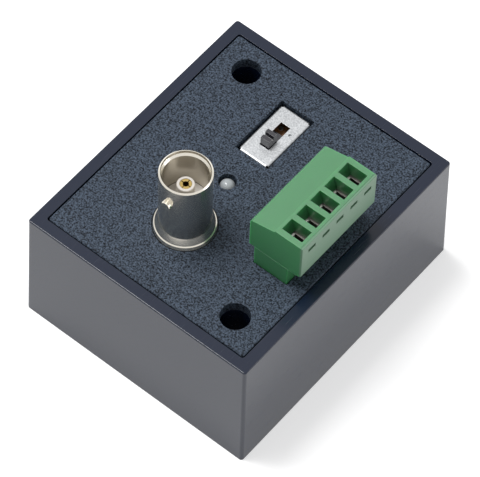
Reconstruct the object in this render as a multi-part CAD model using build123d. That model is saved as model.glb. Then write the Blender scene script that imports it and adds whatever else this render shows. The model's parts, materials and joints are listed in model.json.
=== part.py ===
from build123d import *
import math
import os

# A video balun in a moulded case: a coaxial jack, a status lamp, a slide switch and a
# pluggable screw terminal stand on one circuit board and show through the case's lid.
# Millimetres, +Z up, origin at the middle of the case's underside, +Y along the case.

# Case and lid
CASE_WIDTH = 50.0
CASE_LENGTH = 58.6
CASE_HEIGHT = 27.5
CASE_LEAN = 0.6
CASE_CORNER = 0.6
RIM_WIDTH = 2.3
RIM_ROUND = 0.25
FLOOR_THICKNESS = 2.2
LID_THICKNESS = 2.2
LID_GAP = 0.25
LID_EDGE = 0.15
LID_CORNER = 0.5
RIB_DEPTH = 0.9
RIB_WIDTH = 1.4
SIDE_RIB_SPACING = 18.0
END_RIB_SPACING = 12.0

# Mounting holes and closing screws, one pair on each diagonal
HOLE_INSET_X = 6.4
HOLE_INSET_Y = 5.7
MOUNT_HOLE_RADIUS = 2.75
MOUNT_POST_WALL = 1.7
POST_WEB = 1.4
BOSS_RADIUS = 3.75
BOSS_JOINT_HEIGHT = 14.0
LID_SCREW_RECESS_RADIUS = 2.8
LID_SCREW_RECESS_DEPTH = 5.0
LID_SCREW_SHANK_RADIUS = 1.45
LID_SCREW_LENGTH = 16.0
LID_SCREW_HEAD_RADIUS = 2.5
LID_SCREW_HEAD_HEIGHT = 1.9

# Circuit board and the posts that hold it under the lid
BOARD_DROP = 2.5
BOARD_THICKNESS = 1.6
BOARD_EDGE_CLEARANCE = 0.4
BOARD_POST_RADIUS = 2.2
BOARD_POST_INSET_X = 4.6
BOARD_POST_FROM_HOLE_Y = 7.5
BOARD_SCREW_SHANK_RADIUS = 1.0
BOARD_SCREW_LENGTH = 4.8
BOARD_SCREW_HEAD_RADIUS = 1.9
BOARD_SCREW_HEAD_HEIGHT = 1.3
CROSS_WIDTH_SHARE = 0.24
CROSS_REACH_SHARE = 0.62
CROSS_DEPTH_SHARE = 0.7
HEAD_EDGE_SHARE = 0.45
SCREW_TIP_SHARE = 0.4

# Fits
SNUG = 0.05
RUNNING = 0.06
SLIDING = 0.15
LEAD_HOLE_CLEARANCE = 0.15
LEAD_TAIL = 1.6

# The jack and the lamp stand in one row, and the switch close to it
ROW_X = -3.1

# Coaxial jack
JACK_Y = -11.55
JACK_HEIGHT = 15.7
JACK_BARREL_RADIUS = 4.75
JACK_BORE_RADIUS = 4.1
JACK_MOUTH_RADIUS = 4.45
JACK_MOUTH_DEPTH = 0.65
JACK_MOUTH_TAPER = 0.4
JACK_LIP = 0.2
JACK_FLANGE_RADIUS = 5.77
JACK_FLANGE_RISE = 0.05
JACK_SHOULDER_RADIUS = 5.55
JACK_SHOULDER_RISE = 0.6
JACK_FLARE_FOOT_RADIUS = 5.35
JACK_FLARE_FOOT_RISE = 0.75
JACK_FLARE_RISE = 2.1
JACK_OPENING_GAP = 0.12
JACK_SEAT_RISE = 2.0
JACK_THROAT_RADIUS = 3.0
JACK_LEG_RADIUS = 0.65
JACK_LEG_OFFSET = 3.6
LUG_RADIUS = 0.98
LUG_DROP = 4.4
LUG_REACH = 0.72
LUG_EDGE = 0.12
STEM_RADIUS = 1.6
STEM_DROP = 3.5
STEM_BASE_DROP = 8.5
CENTRE_RADIUS = 1.05
CENTRE_BORE_RADIUS = 0.55
CENTRE_BORE_DEPTH = 4.4
CENTRE_SLOT_WIDTH = 0.15
CENTRE_SLOT_DEPTH = 3.0
CENTRE_PIN_RADIUS = 0.5
CENTRE_SET_BACK = 0.06

# Status lamp
LAMP_Y = 0.06
LAMP_RADIUS = 1.5
LAMP_HEIGHT = 4.2
LAMP_RECESS = 0.15
LAMP_FLANGE_RADIUS = 1.9
LAMP_FLANGE_HEIGHT = 0.9
LAMP_HOLE_GAP = 0.17
LAMP_LEAD_SPACING = 2.0
LAMP_LEAD_WIDTH = 0.45
LAMP_CUP_RADIUS = 0.62
LAMP_CUP_FOOT_RADIUS = 0.434
LAMP_CUP_LIP_RADIUS = 0.527
LAMP_CUP_FLOOR_RADIUS = 0.248
LAMP_CUP_FLOOR = 0.18
LAMP_CUP_HEIGHT = 0.6
LAMP_CUP_RISE = 1.9
LAMP_POST_RISE = 2.2

# Slide switch
SWITCH_X = -3.13
SWITCH_FROM_BOARD_END = 11.8
SWITCH_WIDTH = 6.85
SWITCH_LENGTH = 12.75
SWITCH_RECESS = 0.5
SWITCH_SIDE_GAP = 0.3
SWITCH_END_GAP = 0.22
SHEET_THICKNESS = 0.35
COVER_ROUND = 0.5
COVER_NOTCH = 0.55
COVER_LEG_WIDTH = 1.4
COVER_TAB_WIDTH = 1.5
COVER_TAB_REACH = 0.7
DIMPLE_RADIUS = 0.32
DIMPLE_DEPTH = 0.3
DIMPLE_X = 2.03
DIMPLE_Y = 1.8
SLOT_WIDTH = 2.1
SLOT_LENGTH = 6.15
SWITCH_STANDOFF = 0.6
SWITCH_BASE_THICKNESS = 0.9
LEVER_LENGTH = 2.25
LEVER_TOP_LENGTH = 2.1
LEVER_RISE = 2.25
LEVER_FRONT_DROP = 0.35
LEVER_GROOVE_DEPTH = 0.5
LEVER_GROOVE_WIDTH = 0.5
LEVER_SIDE_CLEARANCE = 0.08
LEVER_END_CLEARANCE = 0.15
CARRIAGE_LENGTH = 6.6
CARRIAGE_CLEARANCE = 0.8
CARRIAGE_SIDE_GAP = 0.2
BRIDGE_THICKNESS = 0.18
BRIDGE_RISE = 0.3
BRIDGE_WIDTH = 0.9
BRIDGE_FOOT = 0.8
TERMINAL_ROW_OFFSET = 1.35
TERMINAL_HEAD_RADIUS = 0.5
TERMINAL_HEAD_HEIGHT = 0.1
TERMINAL_BLADE = (0.8, 0.3)

# Pluggable terminal: a header on the board and the plug in it
POLES = 5
POLE_PITCH = 3.81
TERMINAL_END = 2.5
TERMINAL_INSET = 7.5
TERMINAL_Y = 0.19
HEADER_WIDTH = 7.2
HEADER_HEIGHT = 9.2
HEADER_WALL = 0.8
HEADER_FLOOR = 1.2
HEADER_OPENING_GAP = 0.15
HEADER_KEY = 0.45
HEADER_KEY_WIDTH = 0.8
PIN_WIDTH = 0.9
PIN_TIP_DROP = 1.0
PIN_POINT = 0.3
PLUG_SEAT_GAP = 0.1
PLUG_SCREW_SIDE = 4.75
PLUG_COVER_SIDE = 6.6
PLUG_LOW_HEIGHT = 7.1
PLUG_SLOPE_HEIGHT = 8.4
PLUG_TOP_HEIGHT = 8.8
PLUG_SLOPE_END = 0.45
PLUG_STEP_END = 0.57
PLUG_LOWER_RISE = 0.45
PLUG_LOWER_REACH = 0.9
PLUG_UPPER_BEVEL = 0.3
PLUG_EDGE = 0.12
TONGUE_TIP_GAP = 0.6
TONGUE_LEAD_IN = 0.5
SOCKET_WIDTH = 2.3
ENTRY_START = 1.15
ENTRY_END = 5.5
ENTRY_WIDTH = 2.7
ENTRY_TAPER = 0.75
COVER_THICKNESS = 0.4
WINDOW_LENGTH = 1.9
WINDOW_HEIGHT = 0.85
WINDOW_DEPTH = 1.2
WINDOW_SHIFT = 0.15
WINDOW_RISE = 6.65

# Clamp in each pole: a turning screw draws a sleeve towards its head
SCREW_RISE = 3.4
CHAMBER_HEIGHT = 4.7
CHAMBER_WIDTH = 3.05
CLAMP_HEAD_RADIUS = 1.45
CLAMP_HEAD_HEIGHT = 1.2
CLAMP_HEAD_SET_BACK = 1.0
CLAMP_LIP_RADIUS = 1.3
CLAMP_LIP_GAP = 0.08
CLAMP_SHANK_RADIUS = 0.95
CLAMP_SLOT_WIDTH = 0.5
CLAMP_SLOT_DEPTH = 0.6
SLEEVE_NUT_THICKNESS = 1.0
SLEEVE_WALL = 0.4
SLEEVE_TRAVEL = 1.9
SLEEVE_CLEARANCE = 0.12
BAR_THICKNESS = 0.6
BAR_OFFSET = 2.0
LEAF_THICKNESS = 0.4
LEAF_CLEARANCE = 0.08
YOKE_THICKNESS = 0.7

# Parts under the board
CORE_INSET = 7.6
CORE_Y = 0.0
CORE_WIDTH = 12.6
CORE_HALF_LENGTH = 6.1
CORE_HEIGHT = 3.6
CORE_LEG = 1.9
CORE_CENTRE_LEG = 3.6
CORE_BACK = 1.8
CORE_DROP = 5.8
BOBBIN_WALL = 0.6
BOBBIN_FLANGE_HEIGHT = 8.0
BOBBIN_RAIL_LENGTH = 2.2
BOBBIN_PIN_RADIUS = 0.3
BOBBIN_PIN_PITCH = 3.5
WINDING_DEPTH = 0.85
WINDING_ROUND = 0.5
CAPACITOR_RADIUS = 3.15
CAPACITOR_HEIGHT = 7.0
CAPACITOR_X = 5.0
CAPACITOR_Y = (6.6, 14.4)
CAPACITOR_STANDOFF = 0.3
CAPACITOR_BEAD_DROP = 1.3
CAPACITOR_BEAD = 0.2
CAPACITOR_EDGE = 0.45
CAPACITOR_LEAD_SPACING = 2.5
CAPACITOR_LEAD_RADIUS = 0.25
ARRESTER_X = 6.6
ARRESTER_FROM_BOARD_END = 9.5
ARRESTER_RADIUS = 2.75
ARRESTER_LENGTH = 6.0
ARRESTER_CAP = 0.8
ARRESTER_WAIST = 0.25
ARRESTER_LEAD_RADIUS = 0.4
ARRESTER_LEAD_REACH = 1.6
ARRESTER_STANDOFF = 0.5

# Parts on the board's upper face
CHIP_X = 5.2
CHIP_FROM_BOARD_END = 23.9
CHIP_WIDTH = 3.9
CHIP_LENGTH = 4.9
CHIP_HEIGHT = 1.4
CHIP_STANDOFF = 0.15
CHIP_DRAFT_SHARE = 0.08
CHIP_MARK_RADIUS = 0.42
CHIP_MARK_DEPTH = 0.14
CHIP_PINS = 4
CHIP_PIN_PITCH = 1.27
CHIP_LEG_WIDTH = 0.42
CHIP_LEG_THICKNESS = 0.2
CHIP_LEG_REACH = 1.0
CHIP_FOOT = 0.55
RESISTOR_SIZE = (3.2, 1.6, 0.55)
RESISTOR_END = 0.5
RESISTOR_X = 6.8
RESISTOR_FROM_BOARD_END = 12.5
RESISTOR_PITCH = 2.3
RESISTORS = 4
BLOCK_SIZE = (2.0, 3.2, 1.2)
BLOCK_END = 0.5
END_CAP_SHARE = 0.06
BLOCK_FROM_CORE = 1.8
BLOCK_FIRST_Y = -4.5
BLOCK_PITCH = 4.5
BLOCKS = 3

# Levels and places that follow from the sizes above
CAVITY_WIDTH = CASE_WIDTH - 2 * (CASE_LEAN + RIM_WIDTH)
CAVITY_LENGTH = CASE_LENGTH - 2 * (CASE_LEAN + RIM_WIDTH)
LID_TOP = CASE_HEIGHT
LID_UNDERSIDE = LID_TOP - LID_THICKNESS
BOARD_TOP = LID_UNDERSIDE - BOARD_DROP
BOARD_BOTTOM = BOARD_TOP - BOARD_THICKNESS
LEAD_END = BOARD_BOTTOM - LEAD_TAIL
HOLE_X = CAVITY_WIDTH / 2 - HOLE_INSET_X
HOLE_Y = CAVITY_LENGTH / 2 - HOLE_INSET_Y
MOUNT_PLACES = ((-HOLE_X, HOLE_Y), (HOLE_X, -HOLE_Y))
SCREW_PLACES = ((HOLE_X, HOLE_Y), (-HOLE_X, -HOLE_Y))
MOUNT_POST_RADIUS = MOUNT_HOLE_RADIUS + MOUNT_POST_WALL
BOARD_WIDTH = CAVITY_WIDTH - 2 * (RIB_DEPTH + BOARD_EDGE_CLEARANCE)
BOARD_LENGTH = CAVITY_LENGTH - 2 * (RIB_DEPTH + BOARD_EDGE_CLEARANCE)
BOARD_POST_X = CAVITY_WIDTH / 2 - BOARD_POST_INSET_X
CORE_X = CORE_INSET - BOARD_WIDTH / 2
CORE_MIDDLE = BOARD_BOTTOM - CORE_DROP
ARRESTER_Y = ARRESTER_FROM_BOARD_END - BOARD_LENGTH / 2
RESISTOR_FIRST_Y = RESISTOR_FROM_BOARD_END - BOARD_LENGTH / 2
CHIP_Y = CHIP_FROM_BOARD_END - BOARD_LENGTH / 2
BLOCK_X = CORE_X + BLOCK_FROM_CORE
BOARD_POST_Y = HOLE_Y - BOARD_POST_FROM_HOLE_Y
BOARD_SCREW_PLACES = [(sx * BOARD_POST_X, sy * BOARD_POST_Y) for sx in (-1, 1) for sy in (-1, 1)]

JACK_RIM = LID_TOP + JACK_HEIGHT
JACK_SEAT = LID_TOP + JACK_SEAT_RISE
STEM_TOP = JACK_RIM - STEM_DROP
STEM_BASE = JACK_RIM - STEM_BASE_DROP
JACK_LEG_PLACES = [(ROW_X + sx * JACK_LEG_OFFSET, JACK_Y + sy * JACK_LEG_OFFSET)
                   for sx in (-1, 1) for sy in (-1, 1)]

LAMP_TOP = LID_TOP - LAMP_RECESS
LAMP_BASE = LAMP_TOP - LAMP_HEIGHT

COVER_TOP = LID_TOP - SWITCH_RECESS
SWITCH_Y = BOARD_LENGTH / 2 - SWITCH_FROM_BOARD_END
SWITCH_BASE_BOTTOM = BOARD_TOP + SWITCH_STANDOFF
SWITCH_BASE_TOP = SWITCH_BASE_BOTTOM + SWITCH_BASE_THICKNESS
SWITCH_TRAVEL = SLOT_LENGTH - LEVER_LENGTH - 2 * LEVER_END_CLEARANCE
SLIDER_Y = SWITCH_Y - SWITCH_TRAVEL / 2
BRIDGE_BOTTOM = SWITCH_BASE_TOP + TERMINAL_HEAD_HEIGHT + SNUG
CARRIAGE_BOTTOM = BRIDGE_BOTTOM + BRIDGE_THICKNESS + BRIDGE_RISE
CARRIAGE_TOP = COVER_TOP - SHEET_THICKNESS - CARRIAGE_CLEARANCE

PIN_X = CAVITY_WIDTH / 2 - TERMINAL_INSET
TERMINAL_LENGTH = (POLES - 1) * POLE_PITCH + 2 * TERMINAL_END
POLE_Y = [TERMINAL_Y + (index - (POLES - 1) / 2) * POLE_PITCH for index in range(POLES)]
HEADER_TOP = BOARD_TOP + HEADER_HEIGHT
PLUG_BOTTOM = HEADER_TOP + PLUG_SEAT_GAP
PLUG_TOP = PLUG_BOTTOM + PLUG_TOP_HEIGHT
TONGUE_WIDTH = HEADER_WIDTH - 2 * (HEADER_WALL + SLIDING)
TONGUE_LENGTH = TERMINAL_LENGTH - 2 * (HEADER_WALL + SLIDING)
TONGUE_BOTTOM = BOARD_TOP + HEADER_FLOOR + TONGUE_TIP_GAP
SCREW_AXIS = PLUG_BOTTOM + SCREW_RISE
CHAMBER_BOTTOM = SCREW_AXIS - CHAMBER_HEIGHT / 2
CHAMBER_TOP = SCREW_AXIS + CHAMBER_HEIGHT / 2
SCREW_FACE_X = PIN_X - PLUG_SCREW_SIDE
COVER_FACE_X = PIN_X + PLUG_COVER_SIDE
HOUSING_END_X = COVER_FACE_X - COVER_THICKNESS
HOUSING_END_LOW = PLUG_BOTTOM + PLUG_LOWER_RISE / 2
CLAMP_HEAD_X = SCREW_FACE_X + CLAMP_HEAD_SET_BACK
CLAMP_NECK_X = CLAMP_HEAD_X + CLAMP_HEAD_HEIGHT
BAR_X = PIN_X + BAR_OFFSET
BAR_NEAR_X = BAR_X - BAR_THICKNESS / 2
BAR_FAR_X = BAR_X + BAR_THICKNESS / 2
SLEEVE_NUT_X = CLAMP_NECK_X + SLEEVE_CLEARANCE + SLEEVE_TRAVEL
SLEEVE_FAR_X = BAR_FAR_X + SLEEVE_CLEARANCE + SLEEVE_TRAVEL + SLEEVE_WALL
SLEEVE_WIDTH = CHAMBER_WIDTH - 2 * SLEEVE_CLEARANCE
SLEEVE_HEIGHT = CHAMBER_HEIGHT - 2 * SLEEVE_CLEARANCE
BAR_WIDTH = SLEEVE_WIDTH - 2 * (SLEEVE_WALL + SNUG)


def prism(width, length, low, high, at=(0.0, 0.0), corner=0.0):
    """An upright prism on a rectangle, with rounded upright edges where a corner is given."""
    outline = RectangleRounded(width, length, corner) if corner else Rectangle(width, length)
    return Pos(at[0], at[1], low) * extrude(outline, high - low)


def post(radius, low, high, at=(0.0, 0.0)):
    """An upright cylinder."""
    return Pos(at[0], at[1], low) * extrude(Circle(radius), high - low)


def slab(x_range, width, z_range, y):
    """A block between two planes across X and two across Z, as wide as given about y."""
    x_low, x_high = x_range
    z_low, z_high = z_range
    return prism(x_high - x_low, width, z_low, z_high, at=((x_low + x_high) / 2, y))


def turned(points, at=(0.0, 0.0)):
    """A solid turned about an upright axis from (radius, height) points."""
    return Pos(at[0], at[1], 0) * revolve(Plane.XZ * make_face(Polyline(*points, close=True)), Axis.Z)


def along_y(points, width, y):
    """A flat outline of (x, z) points, pulled to a width along Y about y."""
    face = make_face(Polyline(*points, close=True))
    return Pos(0, y, 0) * extrude(Plane.XZ * face, width / 2, both=True)


def along_x(points, width, x):
    """A flat outline of (y, z) points, pulled to a width along X about x."""
    face = make_face(Polyline(*points, close=True))
    return Pos(x, 0, 0) * extrude(Plane.YZ * face, width / 2, both=True)


def cross_screw(shank_radius, length, head_radius, head_height):
    """A round-headed cross-recess screw, its head's seat at z 0, pointing up."""
    edge = head_height * HEAD_EDGE_SHARE
    screw = turned([
        (0, -head_height),
        (head_radius - edge, -head_height),
        (head_radius, -head_height + edge),
        (head_radius, 0),
        (shank_radius, 0),
        (shank_radius, length - shank_radius),
        (shank_radius * SCREW_TIP_SHARE, length),
        (0, length),
    ])
    reach = 2 * head_radius * CROSS_REACH_SHARE
    width = 2 * head_radius * CROSS_WIDTH_SHARE
    recess = Rectangle(reach, width) + Rectangle(width, reach)
    return screw - Pos(0, 0, -head_height) * extrude(recess, head_height * CROSS_DEPTH_SHARE)


def case_shell():
    """The tapered tray before its posts and holes."""
    foot = RectangleRounded(CASE_WIDTH, CASE_LENGTH, CASE_CORNER)
    rim = RectangleRounded(CASE_WIDTH - 2 * CASE_LEAN, CASE_LENGTH - 2 * CASE_LEAN, CASE_CORNER)
    block = loft([foot.face(), (Pos(0, 0, CASE_HEIGHT) * rim).face()])
    block = fillet(block.faces().sort_by(Axis.Z)[-1].edges(), RIM_ROUND)
    return block - prism(CAVITY_WIDTH, CAVITY_LENGTH, FLOOR_THICKNESS, CASE_HEIGHT + 1, corner=LID_CORNER)


def wall_web(place, width, high):
    """Two thin webs that tie a corner post to the walls beside it."""
    x, y = place
    wall_x = math.copysign(CAVITY_WIDTH / 2 + RIM_WIDTH / 2, x)
    wall_y = math.copysign(CAVITY_LENGTH / 2 + RIM_WIDTH / 2, y)
    to_side = prism(abs(wall_x - x), width, FLOOR_THICKNESS, high, at=((x + wall_x) / 2, y))
    to_end = prism(width, abs(wall_y - y), FLOOR_THICKNESS, high, at=(x, (y + wall_y) / 2))
    return to_side + to_end


def lid_ribs():
    """Upright ribs on the inside of the walls, which the lid's edge rests on."""
    depth = RIB_DEPTH + RIM_WIDTH / 2
    ribs = []
    for side in (-1, 1):
        wall_x = side * (CAVITY_WIDTH / 2 - RIB_DEPTH + depth / 2)
        wall_y = side * (CAVITY_LENGTH / 2 - RIB_DEPTH + depth / 2)
        for step in (-0.5, 0.5):
            ribs.append(prism(depth, RIB_WIDTH, 0, LID_UNDERSIDE, at=(wall_x, step * SIDE_RIB_SPACING)))
            ribs.append(prism(RIB_WIDTH, depth, 0, LID_UNDERSIDE, at=(step * END_RIB_SPACING, wall_y)))
    return ribs


def case():
    """The tray with ribs, mounting posts and screw bosses, moulded in one piece."""
    body = case_shell()
    for rib in lid_ribs():
        body += rib
    for place in MOUNT_PLACES:
        body += post(MOUNT_POST_RADIUS, 0, LID_UNDERSIDE, place)
        body += wall_web(place, POST_WEB, LID_UNDERSIDE)
    for place in SCREW_PLACES:
        body += post(BOSS_RADIUS, 0, BOSS_JOINT_HEIGHT, place)
        body += wall_web(place, POST_WEB, BOSS_JOINT_HEIGHT)
    for place in MOUNT_PLACES:
        body -= post(MOUNT_HOLE_RADIUS, -1, CASE_HEIGHT, place)
    for place in SCREW_PLACES:
        body -= post(LID_SCREW_RECESS_RADIUS, -1, LID_SCREW_RECESS_DEPTH, place)
        body -= post(LID_SCREW_SHANK_RADIUS + LEAD_HOLE_CLEARANCE, 0, CASE_HEIGHT, place)
    return body


def lid_openings():
    """The solids cut out of the lid: one for each thing that shows through it."""
    low = LID_UNDERSIDE - 1
    high = LID_TOP + 1
    cuts = [post(MOUNT_HOLE_RADIUS, low, high, place) for place in MOUNT_PLACES]
    cuts.append(post(JACK_FLANGE_RADIUS + JACK_OPENING_GAP, low, high, (ROW_X, JACK_Y)))
    cuts.append(post(LAMP_RADIUS + LAMP_HOLE_GAP, low, high, (ROW_X, LAMP_Y)))
    cuts.append(prism(SWITCH_WIDTH + 2 * SWITCH_SIDE_GAP, SWITCH_LENGTH + 2 * SWITCH_END_GAP,
                      low, high, at=(SWITCH_X, SWITCH_Y)))
    cuts.append(prism(HEADER_WIDTH + 2 * HEADER_OPENING_GAP, TERMINAL_LENGTH + 2 * HEADER_OPENING_GAP,
                      low, high, at=(PIN_X, TERMINAL_Y)))
    return cuts


def lid():
    """The flush cover plate, with posts for the board and bosses for the closing screws."""
    plate = prism(CAVITY_WIDTH - 2 * LID_GAP, CAVITY_LENGTH - 2 * LID_GAP, LID_UNDERSIDE, LID_TOP,
                  corner=LID_CORNER)
    plate = chamfer(plate.faces().sort_by(Axis.Z)[-1].edges(), LID_EDGE)
    for cut in lid_openings():
        plate -= cut
    for place in SCREW_PLACES:
        plate += post(BOSS_RADIUS, BOSS_JOINT_HEIGHT, LID_UNDERSIDE, place)
    for place in BOARD_SCREW_PLACES:
        plate += post(BOARD_POST_RADIUS, BOARD_TOP, LID_UNDERSIDE, place)
    screw_end = LID_SCREW_RECESS_DEPTH + LID_SCREW_LENGTH
    for place in SCREW_PLACES:
        plate -= post(LID_SCREW_SHANK_RADIUS + SNUG, BOSS_JOINT_HEIGHT, screw_end + SNUG, place)
    board_screw_end = BOARD_BOTTOM + BOARD_SCREW_LENGTH
    for place in BOARD_SCREW_PLACES:
        plate -= post(BOARD_SCREW_SHANK_RADIUS + SNUG, BOARD_TOP, board_screw_end + SNUG, place)
    return plate


def lid_screws():
    """The two screws that draw the lid down from under the case."""
    screw = cross_screw(LID_SCREW_SHANK_RADIUS, LID_SCREW_LENGTH, LID_SCREW_HEAD_RADIUS,
                        LID_SCREW_HEAD_HEIGHT)
    return [Pos(x, y, LID_SCREW_RECESS_DEPTH) * screw for x, y in SCREW_PLACES]


def board_screws():
    """The four screws that hold the board up against the lid's posts."""
    screw = cross_screw(BOARD_SCREW_SHANK_RADIUS, BOARD_SCREW_LENGTH, BOARD_SCREW_HEAD_RADIUS,
                        BOARD_SCREW_HEAD_HEIGHT)
    return [Pos(x, y, BOARD_BOTTOM) * screw for x, y in BOARD_SCREW_PLACES]


def lamp_lead_places():
    """Where the lamp's two wires pass through the board."""
    return [(ROW_X + side * LAMP_LEAD_SPACING / 2, LAMP_Y) for side in (-1, 1)]


def cover_leg_places():
    """Where the switch cover's two legs pass through the board."""
    offset = SWITCH_LENGTH / 2 - SHEET_THICKNESS / 2
    return [(SWITCH_X, SWITCH_Y + side * offset) for side in (-1, 1)]


def switch_terminal_places():
    """Where the switch's six blades stand: two rows, one travel apart."""
    return [(SWITCH_X + side * TERMINAL_ROW_OFFSET, SWITCH_Y + step * SWITCH_TRAVEL)
            for side in (-1, 1) for step in (-1, 0, 1)]


def bobbin_pin_places():
    """Where the bobbin's six pins pass through the board."""
    rail = CORE_HALF_LENGTH - CORE_BACK + BOBBIN_RAIL_LENGTH / 2
    return [(CORE_X + step * BOBBIN_PIN_PITCH, CORE_Y + side * rail)
            for side in (-1, 1) for step in (-1, 0, 1)]


def capacitor_lead_places(y):
    """Where one capacitor's two wires pass through the board."""
    return [(CAPACITOR_X + side * CAPACITOR_LEAD_SPACING / 2, y) for side in (-1, 1)]


def arrester_lead_places():
    """Where the arrester's two wires turn up through the board."""
    reach = ARRESTER_LENGTH / 2 + ARRESTER_LEAD_REACH
    return [(ARRESTER_X + side * reach, ARRESTER_Y) for side in (-1, 1)]


def board_holes():
    """Flat outlines of every hole in the board, each a little larger than what it takes."""
    gap = LEAD_HOLE_CLEARANCE
    holes = [Pos(x, y) * Circle(BOARD_SCREW_SHANK_RADIUS + gap) for x, y in BOARD_SCREW_PLACES]
    holes += [Pos(x, y) * Circle(JACK_LEG_RADIUS + gap) for x, y in JACK_LEG_PLACES]
    holes.append(Pos(ROW_X, JACK_Y) * Circle(CENTRE_PIN_RADIUS + gap))
    lamp_hole = LAMP_LEAD_WIDTH * math.sqrt(2) / 2 + gap
    holes += [Pos(x, y) * Circle(lamp_hole) for x, y in lamp_lead_places()]
    leg_slot = Rectangle(COVER_LEG_WIDTH + 2 * gap, SHEET_THICKNESS + 2 * gap)
    holes += [Pos(x, y) * leg_slot for x, y in cover_leg_places()]
    terminal_hole = math.hypot(*TERMINAL_BLADE) / 2 + gap
    holes += [Pos(x, y) * Circle(terminal_hole) for x, y in switch_terminal_places()]
    pin_hole = PIN_WIDTH * math.sqrt(2) / 2 + gap
    holes += [Pos(PIN_X, y) * Circle(pin_hole) for y in POLE_Y]
    holes += [Pos(x, y) * Circle(BOBBIN_PIN_RADIUS + gap) for x, y in bobbin_pin_places()]
    for row_y in CAPACITOR_Y:
        holes += [Pos(x, y) * Circle(CAPACITOR_LEAD_RADIUS + gap) for x, y in capacitor_lead_places(row_y)]
    holes += [Pos(x, y) * Circle(ARRESTER_LEAD_RADIUS + gap) for x, y in arrester_lead_places()]
    return holes


def circuit_board():
    """The board: its corners are cut back round the case's four corner posts."""
    clear = max(MOUNT_POST_RADIUS, BOSS_RADIUS) + BOARD_EDGE_CLEARANCE
    inner_x = HOLE_X - clear
    inner_y = HOLE_Y - clear
    across = Rectangle(BOARD_WIDTH, 2 * inner_y)
    along = Rectangle(2 * inner_x, BOARD_LENGTH)
    outline = across + along
    for hole in board_holes():
        outline -= hole
    return Pos(0, 0, BOARD_BOTTOM) * extrude(outline, BOARD_THICKNESS)


def jack_shell():
    """The plated body of the jack: flange, flared barrel, two bayonet lugs and four legs."""
    shell = turned([
        (JACK_THROAT_RADIUS, BOARD_TOP),
        (JACK_FLANGE_RADIUS, BOARD_TOP),
        (JACK_FLANGE_RADIUS, LID_TOP + JACK_FLANGE_RISE),
        (JACK_SHOULDER_RADIUS, LID_TOP + JACK_SHOULDER_RISE),
        (JACK_FLARE_FOOT_RADIUS, LID_TOP + JACK_FLARE_FOOT_RISE),
        (JACK_BARREL_RADIUS, LID_TOP + JACK_FLARE_RISE),
        (JACK_BARREL_RADIUS, JACK_RIM - JACK_LIP),
        (JACK_BARREL_RADIUS - JACK_LIP, JACK_RIM),
        (JACK_MOUTH_RADIUS, JACK_RIM),
        (JACK_MOUTH_RADIUS, JACK_RIM - JACK_MOUTH_DEPTH),
        (JACK_BORE_RADIUS, JACK_RIM - JACK_MOUTH_DEPTH - JACK_MOUTH_TAPER),
        (JACK_BORE_RADIUS, JACK_SEAT),
        (JACK_THROAT_RADIUS, JACK_SEAT),
    ])
    reach = JACK_BARREL_RADIUS + LUG_REACH
    pin = extrude(Circle(LUG_RADIUS), reach)
    pin = chamfer(pin.edges().sort_by(Axis.Z)[-1], LUG_EDGE)
    bore = post(JACK_BORE_RADIUS + SNUG, 0, JACK_RIM)
    for side in (-1, 1):
        lug = Pos(0, 0, JACK_RIM - LUG_DROP) * Rot(-side * 90, 0, 0) * pin
        shell += lug - bore
    shell = Pos(ROW_X, JACK_Y, 0) * shell
    for place in JACK_LEG_PLACES:
        shell += post(JACK_LEG_RADIUS, LEAD_END, BOARD_TOP, place)
    return shell


def jack_insulator():
    """The white insulator: a plug in the throat, a disc in the bore and a slim stem."""
    body = turned([
        (CENTRE_RADIUS + SNUG, BOARD_TOP),
        (JACK_THROAT_RADIUS - SNUG, BOARD_TOP),
        (JACK_THROAT_RADIUS - SNUG, JACK_SEAT),
        (JACK_BORE_RADIUS - SNUG, JACK_SEAT),
        (JACK_BORE_RADIUS - SNUG, STEM_BASE),
        (STEM_RADIUS, STEM_BASE),
        (STEM_RADIUS, STEM_TOP - LUG_EDGE),
        (STEM_RADIUS - LUG_EDGE, STEM_TOP),
        (CENTRE_RADIUS + SNUG, STEM_TOP),
    ])
    return Pos(ROW_X, JACK_Y, 0) * body


def jack_centre_contact():
    """The gilt centre socket, slotted into four springy fingers, with a solder pin below."""
    top = STEM_TOP - CENTRE_SET_BACK
    socket = turned([
        (0, LEAD_END),
        (CENTRE_PIN_RADIUS, LEAD_END),
        (CENTRE_PIN_RADIUS, BOARD_TOP),
        (CENTRE_RADIUS, BOARD_TOP),
        (CENTRE_RADIUS, top),
        (CENTRE_BORE_RADIUS, top),
        (CENTRE_BORE_RADIUS, top - CENTRE_BORE_DEPTH),
        (0, top - CENTRE_BORE_DEPTH),
    ])
    cross = Rectangle(3 * CENTRE_RADIUS, CENTRE_SLOT_WIDTH) + Rectangle(CENTRE_SLOT_WIDTH, 3 * CENTRE_RADIUS)
    socket -= Pos(0, 0, top - CENTRE_SLOT_DEPTH) * extrude(cross, CENTRE_SLOT_DEPTH + 1)
    return Pos(ROW_X, JACK_Y, 0) * socket


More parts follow.
